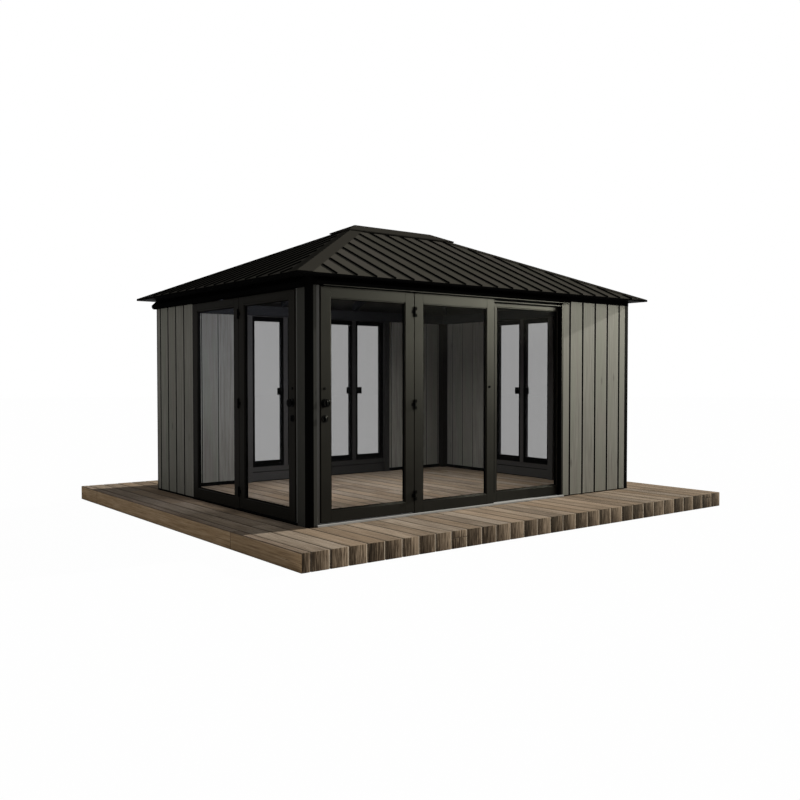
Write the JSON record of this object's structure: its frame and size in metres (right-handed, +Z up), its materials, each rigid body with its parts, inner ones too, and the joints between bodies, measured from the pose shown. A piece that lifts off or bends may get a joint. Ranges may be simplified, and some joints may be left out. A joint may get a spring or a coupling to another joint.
{
  "type": "garden office pod",
  "caption": "Garden room with a hipped standing seam roof, board walls, glazed doors that open outwards, casement windows and a timber deck.",
  "frame": {"origin": "middle of the deck's underside", "axes": "+Z up, -Y out of the long glazed front, +X towards the board end of that front"},
  "size_m": [6.07, 5.492, 3.4649],
  "materials": {
    "timber": "weathered brown sleepers, open grain",
    "boards": "grey weathered vertical boards",
    "metal": "satin dark bronze powder coat",
    "roofing": "matt dark bronze coated sheet",
    "alloy": "mill finish track",
    "hardware": "black coated fittings",
    "glass": "clear double glazing"
  },
  "bodies": {
    "pod": {"deck_platform": "timber", "deck_edge_boards": "timber", "post_front_left": "metal", "post_front_right": "metal", "post_back_left": "metal", "post_back_right": "metal", "beam_front": "metal", "beam_back": "metal", "beam_left": "metal", "beam_right": "metal", "head_rail_front": "metal", "head_rail_left": "metal", "sole_rails": "metal", "door_sills": "alloy", "door_jambs": "metal", "front_wall": "boards", "left_wall": "boards", "back_wall_left": "boards", "back_wall_right": "boards", "right_wall_front": "boards", "right_wall_back": "boards", "front_leaf_middle": "metal", "front_leaf_right": "metal", "left_leaf_back": "metal", "fixed_leaf_glass": "glass", "back_window_left": "metal", "back_window_right": "metal", "right_window": "metal", "window_glass": "glass", "window_handles": "hardware", "door_hinge_pins": "hardware", "roof_front": "roofing", "roof_back": "roofing", "roof_left": "roofing", "roof_right": "roofing", "hip_flashings": "roofing", "ridge_cap": "roofing", "eave_soffit": "metal", "ridge_beam": "metal", "rafters": "metal"},
    "front_door": {"front_door_leaf": "metal", "front_door_glass": "glass", "front_door_lock": "hardware"},
    "side_door": {"side_door_leaf": "metal", "side_door_glass": "glass", "side_door_lock": "hardware"}
  },
  "joints": [
    {"name": "front_door_hinge", "type": "hinge", "parent": "pod", "child": "front_door", "pos_m": [-1.088, -1.81, 0.169], "axis": [0, 0, 1], "range_deg": [0, 105]},
    {"name": "side_door_hinge", "type": "hinge", "parent": "pod", "child": "side_door", "pos_m": [-2.385, -0.41, 0.169], "axis": [0, 0, -1], "range_deg": [0, 105]}
  ]
}
